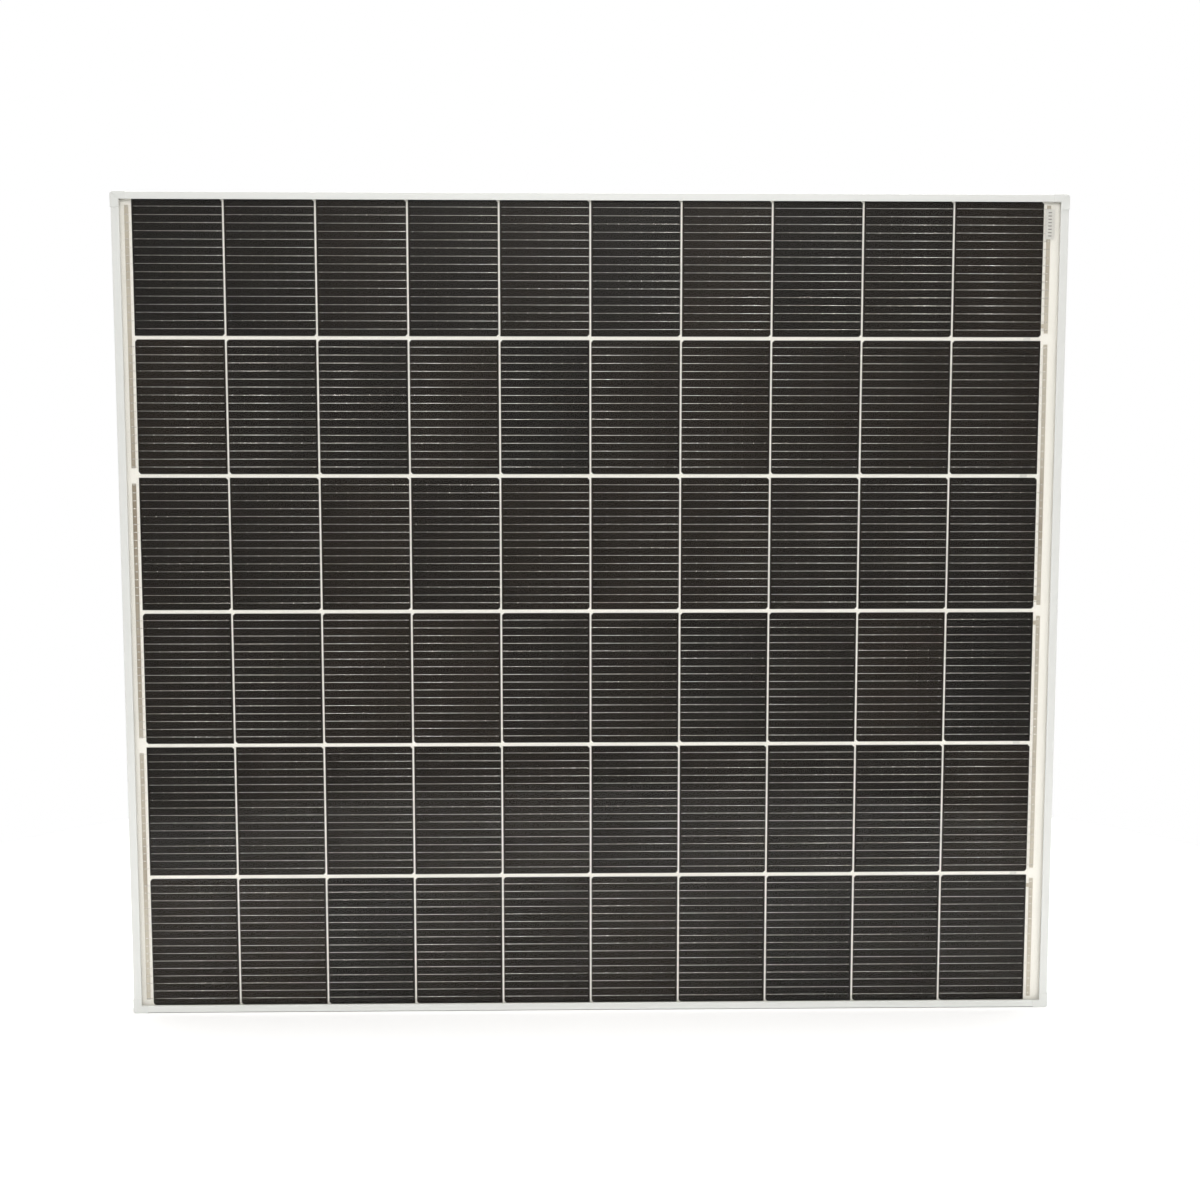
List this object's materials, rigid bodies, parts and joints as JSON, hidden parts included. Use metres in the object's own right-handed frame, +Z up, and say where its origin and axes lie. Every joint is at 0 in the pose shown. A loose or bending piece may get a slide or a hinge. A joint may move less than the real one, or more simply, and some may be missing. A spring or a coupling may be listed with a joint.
{
  "type": "framed solar module",
  "caption": "Rigid glass-fronted solar module in an aluminium frame, with rows of wired dark cells on a white backsheet and a rear junction box with a hinged lid.",
  "frame": {"origin": "centre of the rack-hole rectangle on the frame's back plane", "axes": "+X along the module's long side, to the right as seen from the glass; +Y from the glass to the back; +Z up"},
  "size_m": [1.2956, 0.0308, 1.1356],
  "materials": {
    "anodised_aluminium": "satin clear anodised extrusion",
    "cap_plastic": "moulded, light grey",
    "silicone": "cured silicone",
    "front_glass": "clear tempered low-iron glass",
    "encapsulant": "clear cured sheet",
    "backsheet": "white polymer film",
    "silicon_cell": "textured silicon with anti-reflection coating",
    "tinned_wire": "solder-coated round copper wire",
    "tinned_ribbon": "solder-coated flat copper ribbon",
    "insulating_film": "white film strip",
    "label": "blank printed film",
    "box_plastic": "black moulded, fine texture",
    "contact_metal": "tinned copper plate",
    "diode": "moulded epoxy",
    "hinge_steel": "plain pin",
    "gland_plastic": "black nylon",
    "gasket_rubber": "soft rubber"
  },
  "bodies": {
    "module": {"backsheet": "backsheet", "bus_ribbon_left_lower": "tinned_ribbon", "bus_ribbon_left_middle": "tinned_ribbon", "bus_ribbon_left_upper": "tinned_ribbon", "bus_ribbon_right_bottom": "tinned_ribbon", "bus_ribbon_right_lower": "tinned_ribbon", "bus_ribbon_right_top": "tinned_ribbon", "bus_ribbon_right_upper": "tinned_ribbon", "bypass_diode_1": "diode", "bypass_diode_2": "diode", "bypass_diode_3": "diode", "cell_string_1": "silicon_cell", "cell_string_2": "silicon_cell", "cell_string_3": "silicon_cell", "cell_string_4": "silicon_cell", "cell_string_5": "silicon_cell", "cell_string_6": "silicon_cell", "corner_cap_bottom_left": "cap_plastic", "corner_cap_bottom_right": "cap_plastic", "corner_cap_top_left": "cap_plastic", "corner_cap_top_right": "cap_plastic", "corner_keys": "anodised_aluminium", "edge_seal": "silicone", "frame_rail_bottom": "anodised_aluminium", "frame_rail_left": "anodised_aluminium", "frame_rail_right": "anodised_aluminium", "frame_rail_top": "anodised_aluminium", "front_encapsulant": "encapsulant", "front_glass": "front_glass", "gland_body_lower": "gland_plastic", "gland_body_upper": "gland_plastic", "gland_nut_lower": "gland_plastic", "gland_nut_upper": "gland_plastic", "gland_seals": "gasket_rubber", "junction_box_adhesive": "silicone", "junction_box_housing": "box_plastic", "lead_out_1": "tinned_ribbon", "lead_out_2": "tinned_ribbon", "lead_out_3": "tinned_ribbon", "lead_out_4": "tinned_ribbon", "lead_out_insulation": "insulating_film", "lid_hinge_pins": "hinge_steel", "rating_label": "label", "rear_encapsulant": "encapsulant", "serial_label": "label", "tabbing_wires_1": "tinned_wire", "tabbing_wires_2": "tinned_wire", "tabbing_wires_3": "tinned_wire", "tabbing_wires_4": "tinned_wire", "tabbing_wires_5": "tinned_wire", "tabbing_wires_6": "tinned_wire", "terminal_contact_1": "contact_metal", "terminal_contact_2": "contact_metal", "terminal_contact_3": "contact_metal", "terminal_contact_4": "contact_metal"},
    "lid": {"junction_box_lid": "box_plastic", "lid_gasket": "gasket_rubber"}
  },
  "joints": [
    {"name": "lid_hinge", "type": "hinge", "parent": "module", "child": "lid", "pos_m": [0.4992, -0.00584, 0], "axis": [0, 0, 1], "range_deg": [0, 105]}
  ]
}
